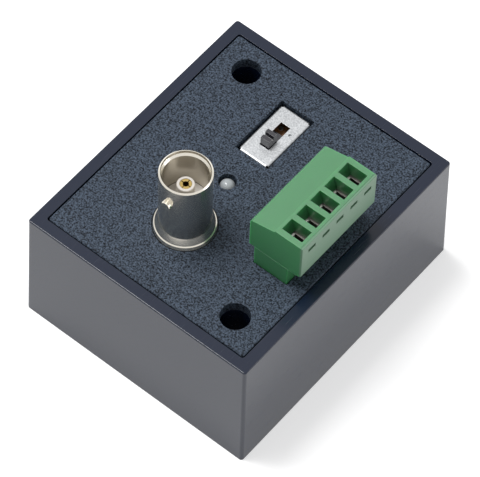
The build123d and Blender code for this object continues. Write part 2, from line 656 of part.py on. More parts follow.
def lamp_leads():
    """The lamp's two wires: one ends in the reflector cup, the other in a bent post."""
    half = LAMP_LEAD_WIDTH / 2
    inner = LAMP_LEAD_SPACING / 2
    cup_base = LAMP_BASE + LAMP_CUP_RISE
    cup_lead = prism(LAMP_LEAD_WIDTH, LAMP_LEAD_WIDTH, LEAD_END, cup_base, at=(-inner, 0))
    cup_lead += prism(inner + half, LAMP_LEAD_WIDTH, cup_base - LAMP_LEAD_WIDTH, cup_base, at=(-inner / 2, 0))
    cup_lead += turned([
        (0, cup_base - half),
        (LAMP_CUP_FOOT_RADIUS, cup_base - half),
        (LAMP_CUP_RADIUS, cup_base + LAMP_CUP_HEIGHT),
        (LAMP_CUP_LIP_RADIUS, cup_base + LAMP_CUP_HEIGHT),
        (LAMP_CUP_FLOOR_RADIUS, cup_base + LAMP_CUP_FLOOR),
        (0, cup_base + LAMP_CUP_FLOOR),
    ])
    post_lead = prism(LAMP_LEAD_WIDTH, LAMP_LEAD_WIDTH, LEAD_END, LAMP_BASE + LAMP_POST_RISE, at=(inner, 0))
    return [Pos(ROW_X, LAMP_Y, 0) * lead for lead in (cup_lead, post_lead)]


def lamp_lens():
    """The clear domed lens, cast round the two leads."""
    dome_start = LAMP_TOP - LAMP_RADIUS
    side = Polyline((0, LAMP_BASE), (LAMP_FLANGE_RADIUS, LAMP_BASE),
                    (LAMP_FLANGE_RADIUS, LAMP_BASE + LAMP_FLANGE_HEIGHT),
                    (LAMP_RADIUS, LAMP_BASE + LAMP_FLANGE_HEIGHT), (LAMP_RADIUS, dome_start))
    dome = JernArc(start=(LAMP_RADIUS, dome_start), tangent=(0, 1), radius=LAMP_RADIUS, arc_size=90)
    closing = Line((0, LAMP_TOP), (0, LAMP_BASE))
    body = revolve(Plane.XZ * make_face([side, dome, closing]), Axis.Z)
    body = Pos(ROW_X, LAMP_Y, 0) * body
    for lead in lamp_leads():
        body -= lead
    return body


def switch_cover():
    """The folded sheet cover, open at its corners: slotted top, skirt, two board legs and four tabs."""
    wall = SHEET_THICKNESS
    block = prism(SWITCH_WIDTH, SWITCH_LENGTH, SWITCH_BASE_BOTTOM, COVER_TOP)
    block = fillet(block.faces().sort_by(Axis.Z)[-1].edges(), COVER_ROUND)
    for side_x in (-1, 1):
        for side_y in (-1, 1):
            corner = (side_x * SWITCH_WIDTH / 2, side_y * SWITCH_LENGTH / 2)
            block -= prism(2 * COVER_NOTCH, 2 * COVER_NOTCH, 0, LID_TOP, at=corner)
    hollow = prism(SWITCH_WIDTH - 2 * wall, SWITCH_LENGTH - 2 * wall, 0, COVER_TOP - wall)
    slot = prism(SLOT_WIDTH, SLOT_LENGTH, 0, LID_TOP)
    dimple = post(DIMPLE_RADIUS, COVER_TOP - DIMPLE_DEPTH, LID_TOP, (DIMPLE_X, DIMPLE_Y))
    cover = block - hollow - slot - dimple
    tab_x = SWITCH_WIDTH / 2 - COVER_TAB_REACH / 2
    for side in (-1, 1):
        for step in (-1, 1):
            cover += prism(COVER_TAB_REACH, COVER_TAB_WIDTH, SWITCH_BASE_BOTTOM - wall, SWITCH_BASE_BOTTOM,
                           at=(side * tab_x, step * SWITCH_LENGTH / 4))
    cover = Pos(SWITCH_X, SWITCH_Y, 0) * cover
    for place in cover_leg_places():
        cover += prism(COVER_LEG_WIDTH, wall, LEAD_END, SWITCH_BASE_TOP, at=place)
    return cover


def switch_base():
    """The brown board that closes the switch and carries its terminals."""
    wall = SHEET_THICKNESS + SNUG
    plate = prism(SWITCH_WIDTH - 2 * wall, SWITCH_LENGTH - 2 * wall, SWITCH_BASE_BOTTOM, SWITCH_BASE_TOP,
                  at=(SWITCH_X, SWITCH_Y))
    for place in switch_terminal_places():
        plate -= prism(TERMINAL_BLADE[0] + 2 * SNUG, TERMINAL_BLADE[1] + 2 * SNUG, 0, LID_TOP, at=place)
    return plate


def switch_terminals():
    """Six blades through the base, each with a flat contact head on its inner end."""
    terminals = []
    for place in switch_terminal_places():
        blade = prism(*TERMINAL_BLADE, LEAD_END, SWITCH_BASE_TOP, at=place)
        head = post(TERMINAL_HEAD_RADIUS, SWITCH_BASE_TOP, SWITCH_BASE_TOP + TERMINAL_HEAD_HEIGHT, place)
        terminals.append(blade + head)
    return terminals


def switch_slider():
    """The moulded slider: a carriage inside the cover and a lever with two ridges above it."""
    carriage_width = SWITCH_WIDTH - 2 * (SHEET_THICKNESS + CARRIAGE_SIDE_GAP)
    carriage = prism(carriage_width, CARRIAGE_LENGTH, CARRIAGE_BOTTOM, CARRIAGE_TOP)
    half = LEVER_LENGTH / 2
    top_half = LEVER_TOP_LENGTH / 2
    lever_top = COVER_TOP + LEVER_RISE
    front_top = lever_top - LEVER_FRONT_DROP
    groove = LEVER_GROOVE_WIDTH / 2
    groove_floor = front_top - LEVER_GROOVE_DEPTH
    lever = along_x([
        (-half, CARRIAGE_TOP),
        (half, CARRIAGE_TOP),
        (half, COVER_TOP),
        (top_half, lever_top),
        (groove, lever_top),
        (groove / 2, groove_floor),
        (-groove / 2, groove_floor),
        (-groove, front_top),
        (-top_half, front_top),
        (-half, COVER_TOP),
    ], SLOT_WIDTH - 2 * LEVER_SIDE_CLEARANCE, 0)
    return Pos(SWITCH_X, SLIDER_Y, 0) * (carriage + lever)


def switch_bridge(side):
    """A sprung strip under the carriage that joins two neighbouring terminals."""
    thick = BRIDGE_THICKNESS
    end = SWITCH_TRAVEL / 2 + BRIDGE_FOOT / 2
    foot = SWITCH_TRAVEL / 2 - BRIDGE_FOOT / 2
    bend = BRIDGE_RISE + thick
    low = BRIDGE_BOTTOM
    strip = along_x([
        (-end, low),
        (-foot, low),
        (-foot + bend, low + BRIDGE_RISE),
        (foot - bend, low + BRIDGE_RISE),
        (foot, low),
        (end, low),
        (end, low + thick),
        (foot, low + thick),
        (foot - bend, low + BRIDGE_RISE + thick),
        (-foot + bend, low + BRIDGE_RISE + thick),
        (-foot, low + thick),
        (-end, low + thick),
    ], BRIDGE_WIDTH, 0)
    return Pos(SWITCH_X + side * TERMINAL_ROW_OFFSET, SLIDER_Y, 0) * strip


def header_housing():
    """The open-topped green shroud on the board, with a key rib beside each pin."""
    inner_width = HEADER_WIDTH - 2 * HEADER_WALL
    inner_length = TERMINAL_LENGTH - 2 * HEADER_WALL
    shroud = prism(HEADER_WIDTH, TERMINAL_LENGTH, BOARD_TOP, HEADER_TOP, at=(PIN_X, TERMINAL_Y))
    shroud -= prism(inner_width, inner_length, BOARD_TOP + HEADER_FLOOR, HEADER_TOP + 1,
                    at=(PIN_X, TERMINAL_Y))
    key_x = PIN_X + inner_width / 2 - HEADER_KEY / 2
    for y in POLE_Y:
        shroud += prism(HEADER_KEY, HEADER_KEY_WIDTH, BOARD_TOP, HEADER_TOP - HEADER_KEY, at=(key_x, y))
        shroud -= prism(PIN_WIDTH + 2 * SNUG, PIN_WIDTH + 2 * SNUG, 0, BOARD_TOP + 2 * HEADER_FLOOR, at=(PIN_X, y))
    return shroud


def header_pins():
    """Square pins through the header's floor and the board, with pointed upper ends."""
    pins = []
    for y in POLE_Y:
        pin = prism(PIN_WIDTH, PIN_WIDTH, LEAD_END, HEADER_TOP - PIN_TIP_DROP, at=(PIN_X, y))
        pins.append(chamfer(pin.faces().sort_by(Axis.Z)[-1].edges(), PIN_POINT))
    return pins


def plug_outline():
    """The plug's end view: sloped over the screws, stepped up over the wire entries."""
    low = PLUG_BOTTOM
    slope = (PLUG_SLOPE_HEIGHT - PLUG_LOW_HEIGHT) / (PLUG_SCREW_SIDE + PLUG_SLOPE_END)
    return [
        (SCREW_FACE_X, low),
        (HOUSING_END_X + COVER_THICKNESS - PLUG_LOWER_REACH, low),
        (HOUSING_END_X, HOUSING_END_LOW),
        (HOUSING_END_X, low + PLUG_TOP_HEIGHT - PLUG_EDGE),
        (HOUSING_END_X - PLUG_EDGE, low + PLUG_TOP_HEIGHT),
        (PIN_X + PLUG_STEP_END, low + PLUG_TOP_HEIGHT),
        (PIN_X + PLUG_SLOPE_END, low + PLUG_SLOPE_HEIGHT),
        (SCREW_FACE_X + PLUG_UPPER_BEVEL, low + PLUG_LOW_HEIGHT + slope * PLUG_UPPER_BEVEL),
        (SCREW_FACE_X, low + PLUG_LOW_HEIGHT - PLUG_UPPER_BEVEL),
    ]


def plug_housing():
    """The plug's moulded body: tongue, sockets, clamp chambers, screw bores and wire entries."""
    body = along_y(plug_outline(), TERMINAL_LENGTH, TERMINAL_Y)
    tongue = prism(TONGUE_WIDTH, TONGUE_LENGTH, TONGUE_BOTTOM, PLUG_BOTTOM, at=(PIN_X, TERMINAL_Y))
    body += chamfer(tongue.faces().sort_by(Axis.Z)[0].edges(), TONGUE_LEAD_IN)
    key_reach = HEADER_KEY + SLIDING
    key_x = PIN_X + TONGUE_WIDTH / 2 + SLIDING - key_reach / 2
    for y in POLE_Y:
        body -= prism(key_reach, HEADER_KEY_WIDTH + 2 * SLIDING, 0, PLUG_BOTTOM, at=(key_x, y))
        body -= pole_cavity(y)
    return body


def pole_cavity(y):
    """All that is hollow in one pole of the plug."""
    leaf_reach = PIN_WIDTH / 2 + LEAF_CLEARANCE + LEAF_THICKNESS + LEAF_CLEARANCE
    socket = slab((PIN_X - leaf_reach, PIN_X + leaf_reach), SOCKET_WIDTH, (0, CHAMBER_BOTTOM + SNUG), y)
    yoke_low = CHAMBER_BOTTOM - YOKE_THICKNESS - SNUG
    yoke = slab((PIN_X - leaf_reach, BAR_FAR_X + SNUG), SOCKET_WIDTH, (yoke_low, CHAMBER_BOTTOM + SNUG), y)
    chamber = slab((CLAMP_NECK_X, COVER_FACE_X), CHAMBER_WIDTH, (CHAMBER_BOTTOM, CHAMBER_TOP), y)
    bore_start = CLAMP_HEAD_X - CLAMP_LIP_GAP
    bore = screw_cylinder(CLAMP_HEAD_RADIUS + RUNNING, bore_start, CLAMP_NECK_X + RUNNING, y)
    lip = screw_cylinder(CLAMP_LIP_RADIUS, SCREW_FACE_X - 1, bore_start, y)
    window = slab((HOUSING_END_X - WINDOW_DEPTH + COVER_THICKNESS, COVER_FACE_X), WINDOW_LENGTH,
                  window_span(), y + WINDOW_SHIFT)
    return socket + yoke + chamber + bore + lip + window + wire_entry(y)


def wire_entry(y):
    """The funnel from the plug's top to a clamp: its screw side slopes in."""
    outline = [
        (PIN_X + ENTRY_START + ENTRY_TAPER, CHAMBER_TOP - SNUG),
        (PIN_X + ENTRY_END, CHAMBER_TOP - SNUG),
        (PIN_X + ENTRY_END, PLUG_TOP + 1),
        (PIN_X + ENTRY_START, PLUG_TOP + 1),
        (PIN_X + ENTRY_START, PLUG_TOP - PLUG_EDGE),
    ]
    return along_y(outline, ENTRY_WIDTH, y)


def window_span():
    """The lowest and highest level of the small slots in the plug's cover."""
    middle = PLUG_BOTTOM + WINDOW_RISE
    return (middle - WINDOW_HEIGHT / 2, middle + WINDOW_HEIGHT / 2)


def screw_cylinder(radius, x_low, x_high, y):
    """A cylinder along X on one clamp screw's axis."""
    return Pos(x_low, y, SCREW_AXIS) * (Rot(0, 90, 0) * extrude(Circle(radius), x_high - x_low))


def plug_cover():
    """The thin plate snapped over the open ends of the clamp chambers."""
    plate = along_y([
        (HOUSING_END_X, HOUSING_END_LOW),
        (COVER_FACE_X, HOUSING_END_LOW + PLUG_LOWER_RISE),
        (COVER_FACE_X, PLUG_TOP),
        (HOUSING_END_X, PLUG_TOP),
    ], TERMINAL_LENGTH, TERMINAL_Y)
    outer_edges = plate.edges().filter_by(Axis.Y).sort_by(Axis.X)[-2:]
    plate = fillet(outer_edges, PLUG_EDGE)
    for y in POLE_Y:
        plate -= slab((HOUSING_END_X - 1, COVER_FACE_X + 1), WINDOW_LENGTH, window_span(), y + WINDOW_SHIFT)
    return plate


def plug_contact(y):
    """One stamped contact: a fork that grips the pin, and the bar that the wire is pressed to."""
    leaf_inner = PIN_WIDTH / 2 + LEAF_CLEARANCE
    leaf_outer = leaf_inner + LEAF_THICKNESS
    tip = TONGUE_BOTTOM + TONGUE_LEAD_IN
    yoke_low = CHAMBER_BOTTOM - YOKE_THICKNESS
    yoke_high = CHAMBER_BOTTOM
    bar_top = CHAMBER_TOP - SLEEVE_CLEARANCE
    return along_y([
        (PIN_X - leaf_outer, tip),
        (PIN_X - leaf_inner, tip),
        (PIN_X - leaf_inner, yoke_low),
        (PIN_X + leaf_inner, yoke_low),
        (PIN_X + leaf_inner, tip),
        (PIN_X + leaf_outer, tip),
        (PIN_X + leaf_outer, yoke_low),
        (BAR_FAR_X, yoke_low),
        (BAR_FAR_X, bar_top),
        (BAR_NEAR_X, bar_top),
        (BAR_NEAR_X, yoke_high),
        (PIN_X - leaf_outer, yoke_high),
    ], BAR_WIDTH, y)


def clamp_screw(y):
    """A slotted screw that turns in the plug with its end against the contact bar."""
    head = screw_cylinder(CLAMP_HEAD_RADIUS, CLAMP_HEAD_X, CLAMP_NECK_X, y)
    shank = screw_cylinder(CLAMP_SHANK_RADIUS, CLAMP_NECK_X, BAR_NEAR_X - RUNNING, y)
    slot = prism(2 * CLAMP_SLOT_DEPTH, 3 * CLAMP_HEAD_RADIUS, SCREW_AXIS - CLAMP_SLOT_WIDTH / 2,
                 SCREW_AXIS + CLAMP_SLOT_WIDTH / 2, at=(CLAMP_HEAD_X, y))
    return head + shank - slot


def clamp_sleeve(y):
    """A square sleeve round the bar: the wire goes between the bar and its far wall."""
    half_height = SLEEVE_HEIGHT / 2
    span = (SCREW_AXIS - half_height, SCREW_AXIS + half_height)
    sleeve = slab((SLEEVE_NUT_X, SLEEVE_FAR_X), SLEEVE_WIDTH, span, y)
    inside = (SLEEVE_NUT_X + SLEEVE_NUT_THICKNESS, SLEEVE_FAR_X - SLEEVE_WALL)
    sleeve -= slab(inside, SLEEVE_WIDTH - 2 * SLEEVE_WALL, (0, 2 * PLUG_TOP), y)
    return sleeve - screw_cylinder(CLAMP_SHANK_RADIUS + RUNNING, SLEEVE_NUT_X - 1, inside[0] + SNUG, y)


def core_half(side):
    """One half of the ferrite core, shaped like the letter E."""
    half = CORE_WIDTH / 2
    centre = CORE_CENTRE_LEG / 2
    inner = CORE_HALF_LENGTH - CORE_BACK
    outline = [
        (-half, SNUG),
        (-half, CORE_HALF_LENGTH),
        (half, CORE_HALF_LENGTH),
        (half, SNUG),
        (half - CORE_LEG, SNUG),
        (half - CORE_LEG, inner),
        (centre, inner),
        (centre, SNUG),
        (-centre, SNUG),
        (-centre, inner),
        (-half + CORE_LEG, inner),
        (-half + CORE_LEG, SNUG),
    ]
    points = [(x, side * y) for x, y in outline]
    face = make_face(Polyline(*points, close=True))
    half_core = extrude(face, CORE_HEIGHT / 2, both=True)
    return Pos(CORE_X, CORE_Y, CORE_MIDDLE) * half_core


def bobbin_spool_width():
    """The bobbin's width over the walls of its spool."""
    return CORE_CENTRE_LEG + 2 * (SNUG + BOBBIN_WALL)


def bobbin_spool_height():
    """The bobbin's height over the walls of its spool."""
    return CORE_HEIGHT + 2 * (SNUG + BOBBIN_WALL)


def lengthwise(width, height, y_low, y_high):
    """A block along Y centred on the core."""
    block = extrude(Plane.XZ * Rectangle(width, height), (y_high - y_low) / 2, both=True)
    return Pos(CORE_X, CORE_Y + (y_low + y_high) / 2, CORE_MIDDLE) * block


def balun_bobbin():
    """The bobbin on the core's middle leg, with two pin rails that reach the board."""
    inner = CORE_HALF_LENGTH - CORE_BACK - SNUG
    flange_width = CORE_WIDTH - 2 * (CORE_LEG + SNUG)
    spool = lengthwise(bobbin_spool_width(), bobbin_spool_height(), -inner, inner)
    flange = BOBBIN_WALL
    rail_low = CORE_MIDDLE + CORE_HEIGHT / 2 + SNUG
    for side in (-1, 1):
        ends = sorted((side * inner, side * (inner - flange)))
        spool += lengthwise(flange_width, BOBBIN_FLANGE_HEIGHT, *ends)
        rail_y = CORE_Y + side * (inner - flange + (BOBBIN_RAIL_LENGTH + flange) / 2)
        spool += prism(flange_width, BOBBIN_RAIL_LENGTH + flange, rail_low, BOARD_BOTTOM, at=(CORE_X, rail_y))
    tunnel = lengthwise(CORE_CENTRE_LEG + 2 * SNUG, CORE_HEIGHT + 2 * SNUG, -CORE_HALF_LENGTH, CORE_HALF_LENGTH)
    spool -= tunnel
    for place in bobbin_pin_places():
        spool -= post(BOBBIN_PIN_RADIUS + SNUG, BOARD_BOTTOM - LEAD_TAIL, BOARD_BOTTOM + 1, place)
    return spool


def balun_pins():
    """The bobbin's six solder pins."""
    return [post(BOBBIN_PIN_RADIUS, BOARD_BOTTOM - LEAD_TAIL + SNUG, BOARD_TOP + BOBBIN_PIN_RADIUS, place)
            for place in bobbin_pin_places()]


def balun_winding(layer):
    """One of the two copper windings, wound one over the other on the bobbin."""
    reach = CORE_HALF_LENGTH - CORE_BACK - BOBBIN_WALL - 3 * SNUG
    inner_gap = SNUG + layer * (WINDING_DEPTH + SNUG)
    inner_width = bobbin_spool_width() + 2 * inner_gap
    inner_height = bobbin_spool_height() + 2 * inner_gap
    outer = RectangleRounded(inner_width + 2 * WINDING_DEPTH, inner_height + 2 * WINDING_DEPTH,
                             WINDING_DEPTH + WINDING_ROUND * layer)
    ring = outer - Rectangle(inner_width, inner_height) if layer == 0 else outer - RectangleRounded(
        inner_width, inner_height, WINDING_ROUND)
    return Pos(CORE_X, CORE_Y, CORE_MIDDLE) * extrude(Plane.XZ * ring, reach, both=True)


def filter_capacitor(y):
    """A can capacitor that hangs under the board, beaded near its sealed end."""
    top = BOARD_BOTTOM - CAPACITOR_STANDOFF
    low = top - CAPACITOR_HEIGHT
    bead = top - CAPACITOR_BEAD_DROP
    can = turned([
        (0, top),
        (CAPACITOR_RADIUS - CAPACITOR_BEAD, top),
        (CAPACITOR_RADIUS, top - CAPACITOR_BEAD),
        (CAPACITOR_RADIUS, bead + CAPACITOR_BEAD),
        (CAPACITOR_RADIUS - CAPACITOR_BEAD, bead),
        (CAPACITOR_RADIUS, bead - CAPACITOR_BEAD),
        (CAPACITOR_RADIUS, low + CAPACITOR_EDGE),
        (CAPACITOR_RADIUS - CAPACITOR_EDGE, low),
        (0, low),
    ], at=(CAPACITOR_X, y))
    for place in capacitor_lead_places(y):
        can += post(CAPACITOR_LEAD_RADIUS, top - CAPACITOR_BEAD, BOARD_TOP + CAPACITOR_LEAD_RADIUS, place)
    return can


def surge_arrester():
    """A gas-filled tube between two caps, on bent leads under the board."""
    axis_z = BOARD_BOTTOM - ARRESTER_STANDOFF - ARRESTER_RADIUS
    half = ARRESTER_LENGTH / 2
    waist = ARRESTER_RADIUS - ARRESTER_WAIST
    tube = turned([
        (0, -half),
        (ARRESTER_RADIUS, -half),
        (ARRESTER_RADIUS, -half + ARRESTER_CAP),
        (waist, -half + ARRESTER_CAP),
        (waist, half - ARRESTER_CAP),
        (ARRESTER_RADIUS, half - ARRESTER_CAP),
        (ARRESTER_RADIUS, half),
        (0, half),
    ])
    body = Pos(ARRESTER_X, ARRESTER_Y, axis_z) * (Rot(0, 90, 0) * tube)
    for side, place in zip((-1, 1), arrester_lead_places()):
        stub = extrude(Circle(ARRESTER_LEAD_RADIUS), half + ARRESTER_LEAD_REACH)
        body += Pos(ARRESTER_X, ARRESTER_Y, axis_z) * (Rot(0, side * 90, 0) * stub)
        body += post(ARRESTER_LEAD_RADIUS, axis_z, BOARD_TOP + ARRESTER_LEAD_RADIUS, place)
        body += Pos(place[0], place[1], axis_z) * Sphere(ARRESTER_LEAD_RADIUS)
    return body


def amplifier_chip():
    """The amplifier's moulded body, its sides drafted to a parting line at mid height."""
    low = BOARD_TOP + CHIP_STANDOFF
    middle = low + CHIP_HEIGHT / 2
    lean = CHIP_HEIGHT * CHIP_DRAFT_SHARE
    waist = Pos(0, 0, middle) * Rectangle(CHIP_WIDTH, CHIP_LENGTH)
    top = Pos(0, 0, low + CHIP_HEIGHT) * Rectangle(CHIP_WIDTH - 2 * lean, CHIP_LENGTH - 2 * lean)
    foot = Pos(0, 0, low) * Rectangle(CHIP_WIDTH - 2 * lean, CHIP_LENGTH - 2 * lean)
    body = loft([foot.face(), waist.face(), top.face()], ruled=True)
    mark = post(CHIP_MARK_RADIUS, low + CHIP_HEIGHT - CHIP_MARK_DEPTH, low + 2 * CHIP_HEIGHT,
                (-CHIP_WIDTH / 4, -CHIP_LENGTH / 3))
    return Pos(CHIP_X, CHIP_Y, 0) * (body - mark)


def amplifier_legs():
    """Eight gull-wing legs from the chip's sides down to the board."""
    thick = CHIP_LEG_THICKNESS
    start = CHIP_WIDTH / 2 + SNUG
    end = CHIP_WIDTH / 2 + CHIP_LEG_REACH
    knee = end - CHIP_FOOT
    high = BOARD_TOP + CHIP_STANDOFF + CHIP_HEIGHT / 2
    outline = [
        (start, high - thick / 2),
        (knee - thick, high - thick / 2),
        (knee - thick, BOARD_TOP),
        (end, BOARD_TOP),
        (end, BOARD_TOP + thick),
        (knee, BOARD_TOP + thick),
        (knee, high + thick / 2),
        (start, high + thick / 2),
    ]
    legs = []
    for side in (-1, 1):
        for index in range(CHIP_PINS):
            y = CHIP_Y + (index - (CHIP_PINS - 1) / 2) * CHIP_PIN_PITCH
            points = [(CHIP_X + side * x, z) for x, z in outline]
            legs.append(along_y(points, CHIP_LEG_WIDTH, y))
    return legs


def chip_part(size, end, at):
    """A small two-ended chip with raised, plated ends, flat on the board."""
    width, length, height = size
    lift = height * END_CAP_SHARE
    body = prism(width - 2 * end, length, BOARD_TOP + lift, BOARD_TOP + height - lift, at=at)
    for side in (-1, 1):
        place = (at[0] + side * (width - end) / 2, at[1])
        body += prism(end, length, BOARD_TOP, BOARD_TOP + height, at=place)
    return body


def all_nodes():
    """Every piece by its node's name; a list holds identical pieces that share a node."""
    nodes = {
        "case": case(),
        "lid": lid(),
        "lid_screws": lid_screws(),
        "circuit_board": circuit_board(),
        "board_screws": board_screws(),
        "jack_shell": jack_shell(),
        "jack_insulator": jack_insulator(),
        "jack_centre_contact": jack_centre_contact(),
        "lamp_lens": lamp_lens(),
        "lamp_leads": lamp_leads(),
        "switch_cover": switch_cover(),
        "switch_base": switch_base(),
        "switch_terminals": switch_terminals(),
        "switch_slider": switch_slider(),
        "switch_bridge_left": switch_bridge(-1),
        "switch_bridge_right": switch_bridge(1),
        "header_housing": header_housing(),
        "header_pins": header_pins(),
        "plug_housing": plug_housing(),
        "plug_cover": plug_cover(),
        "balun_core_front": core_half(-1),
        "balun_core_back": core_half(1),
        "balun_bobbin": balun_bobbin(),
        "balun_pins": balun_pins(),
        "balun_primary": balun_winding(0),
        "balun_secondary": balun_winding(1),
        "surge_arrester": surge_arrester(),
        "amplifier_chip": amplifier_chip(),
        "amplifier_legs": amplifier_legs(),
    }
    for index, y in enumerate(POLE_Y, 1):
        nodes[f"plug_contact_{index}"] = plug_contact(y)
        nodes[f"clamp_screw_{index}"] = clamp_screw(y)
        nodes[f"clamp_sleeve_{index}"] = clamp_sleeve(y)
    for index, y in enumerate(CAPACITOR_Y, 1):
        nodes[f"filter_capacitor_{index}"] = filter_capacitor(y)
    for index in range(RESISTORS):
        place = (RESISTOR_X, RESISTOR_FIRST_Y + index * RESISTOR_PITCH)
        nodes[f"chip_resistor_{index + 1}"] = chip_part(RESISTOR_SIZE, RESISTOR_END, place)
    for index in range(BLOCKS):
        place = (BLOCK_X, BLOCK_FIRST_Y + index * BLOCK_PITCH)
        nodes[f"chip_capacitor_{index + 1}"] = chip_part(BLOCK_SIZE, BLOCK_END, place)
    return nodes


def write_parts():
    """Writes one STEP file for each node."""
    os.makedirs("parts", exist_ok=True)
    for name, shape in all_nodes().items():
        piece = Compound(children=shape) if isinstance(shape, list) else shape
        export_step(piece, f"parts/{name}.step")


write_parts()
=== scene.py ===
# %% [markdown]
# # A video balun, dressed in Blender
# The shapes come from the imported CAD model, and this file gives them their finish, light and
# camera. It loads the model as a fixed frame, so every piece is in metres at its true place.

import json
import math

import bpy
from mathutils import Matrix, Vector

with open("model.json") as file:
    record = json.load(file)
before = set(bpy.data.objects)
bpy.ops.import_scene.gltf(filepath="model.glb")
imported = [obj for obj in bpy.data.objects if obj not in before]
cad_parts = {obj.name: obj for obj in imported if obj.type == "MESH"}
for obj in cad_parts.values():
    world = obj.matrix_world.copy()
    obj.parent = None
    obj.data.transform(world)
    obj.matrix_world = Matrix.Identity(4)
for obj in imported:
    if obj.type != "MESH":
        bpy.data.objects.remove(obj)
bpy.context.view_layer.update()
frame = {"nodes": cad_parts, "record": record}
print("pieces loaded:", len(frame["nodes"]))

# %% [markdown]
# ## The camera
# The photograph was taken from far away with a long lens, looking down at the case over its front
# corner. The camera could be placed by eye, but four edges of the case and their vanishing points
# fix it much better, so its distance, turn and slight roll are written here as they were worked
# out.

# %% Camera
MM = 0.001
CASE_TOP = 27.5 * MM
RIM_WIDTH = 48.8 * MM
AZIMUTH = 0.65193
ELEVATION = 0.98255
ROLL = 0.04188
DISTANCE = 12.595 * RIM_WIDTH
TARGET = Vector((0.1265 * RIM_WIDTH, -0.1599 * RIM_WIDTH, CASE_TOP))
LENS = 265.98
SENSOR_WIDTH = 36.0
CLIP_END = 20.0


def camera_axes(azimuth, elevation, roll):
    """The camera's right, up and backward directions."""
    back = Vector((math.sin(azimuth) * math.cos(elevation),
                   -math.cos(azimuth) * math.cos(elevation),
                   math.sin(elevation)))
    level = Vector((math.cos(azimuth), math.sin(azimuth), 0.0))
    upright = back.cross(level)
    right = math.cos(roll) * level + math.sin(roll) * upright
    up = math.cos(roll) * upright - math.sin(roll) * level
    return right, up, back


def add_camera():
    """A camera that sees the object as the photograph does."""
    right, up, back = camera_axes(AZIMUTH, ELEVATION, ROLL)
    data = bpy.data.cameras.new("photo_camera")
    data.lens = LENS
    data.sensor_width = SENSOR_WIDTH
    data.sensor_fit = "HORIZONTAL"
    data.clip_end = CLIP_END
    camera = bpy.data.objects.new("photo_camera", data)
    place = Matrix((right, up, back)).transposed().to_4x4()
    place.translation = TARGET + back * DISTANCE
    camera.matrix_world = place
    bpy.context.scene.collection.objects.link(camera)
    bpy.context.scene.camera = camera
    return camera


camera = add_camera()
print("camera at", [round(v, 3) for v in camera.location])

# %% [markdown]
# ## Colours as they are written
# Colours are easiest to judge as the 0 to 255 values that a screen shows, while shaders work with
# light. A small helper turns one into the other, and the Standard view transform shows them
# unchanged.

# %% Colour helper
bpy.context.scene.view_settings.view_transform = "Standard"


def shade(red, green, blue):
    """A screen colour of 0 to 255 a channel as a shader's linear colour, by the sRGB curve."""
    def linear(value):
        value /= 255.0
        return value / 12.92 if value <= 0.04045 else ((value + 0.055) / 1.055) ** 2.4
    return (linear(red), linear(green), linear(blue), 1.0)


print("mid grey is", [round(v, 3) for v in shade(128, 128, 128)])

# %% [markdown]
# ## Small helpers for shader nodes
# Each material is a short network. These helpers add a node with its settings, join two sockets
# and blend two colours, which keeps each finish down to the few lines that say what it is. A
# colour mix node has its sockets at fixed places, which are named here, and noise swings round
# its middle value.

# %% Node helpers
def node(tree, kind, **settings):
    """A new node in a tree. Settings are its own attributes, or values for its named inputs."""
    made = tree.nodes.new(kind)
    for name, value in settings.items():
        socket = name.replace("_", " ").title()
        if hasattr(made, name):
            setattr(made, name, value)
        elif socket in made.inputs:
            made.inputs[socket].default_value = value
        else:
            raise ValueError(f"{kind} has no {name}")
    return made


def join(tree, source, target):
    """Joins an output socket to an input socket."""
    tree.links.new(source, target)


def new_group(name, inputs, outputs):
    """An empty shader node group with named sockets: (name, kind, default) in, (name, kind) out."""
    group = bpy.data.node_groups.new(name, "ShaderNodeTree")
    for label, kind, default in inputs:
        socket = group.interface.new_socket(label, in_out="INPUT", socket_type=kind)
        socket.default_value = default
    for label, kind in outputs:
        group.interface.new_socket(label, in_out="OUTPUT", socket_type=kind)
    return group, group.nodes.new("NodeGroupInput"), group.nodes.new("NodeGroupOutput")


FLOAT = "NodeSocketFloat"
COLOUR = "NodeSocketColor"
VECTOR = "NodeSocketVector"
MIX_FACTOR = 0
MIX_FIRST = 6
MIX_SECOND = 7
MIX_RESULT = 2
NOISE_MIDDLE = 0.5


def blended(tree, mode, share, first, second):
    """Two colour sockets blended in a mode, the second by a share from 0 to 1."""
    mix = node(tree, "ShaderNodeMix", data_type="RGBA", blend_type=mode)
    mix.inputs[MIX_FACTOR].default_value = share
    join(tree, first, mix.inputs[MIX_FIRST])
    join(tree, second, mix.inputs[MIX_SECOND])
    return mix.outputs[MIX_RESULT]

# %% [markdown]
# ## Moulded grain
# A mould that was spark-eroded leaves a fine random grain, and even a polished mould leaves a
# slight unevenness. A picture of plastic could be wrapped round each part, but noise in the
# object's own space has no seams and stays the same size everywhere. The group gives a height for
# bump and a speckle mask.

# %% Grain group
COARSE_SHARE = 0.37
COARSE_HEIGHT = 0.4
SPECKLE_GAIN = 4.0


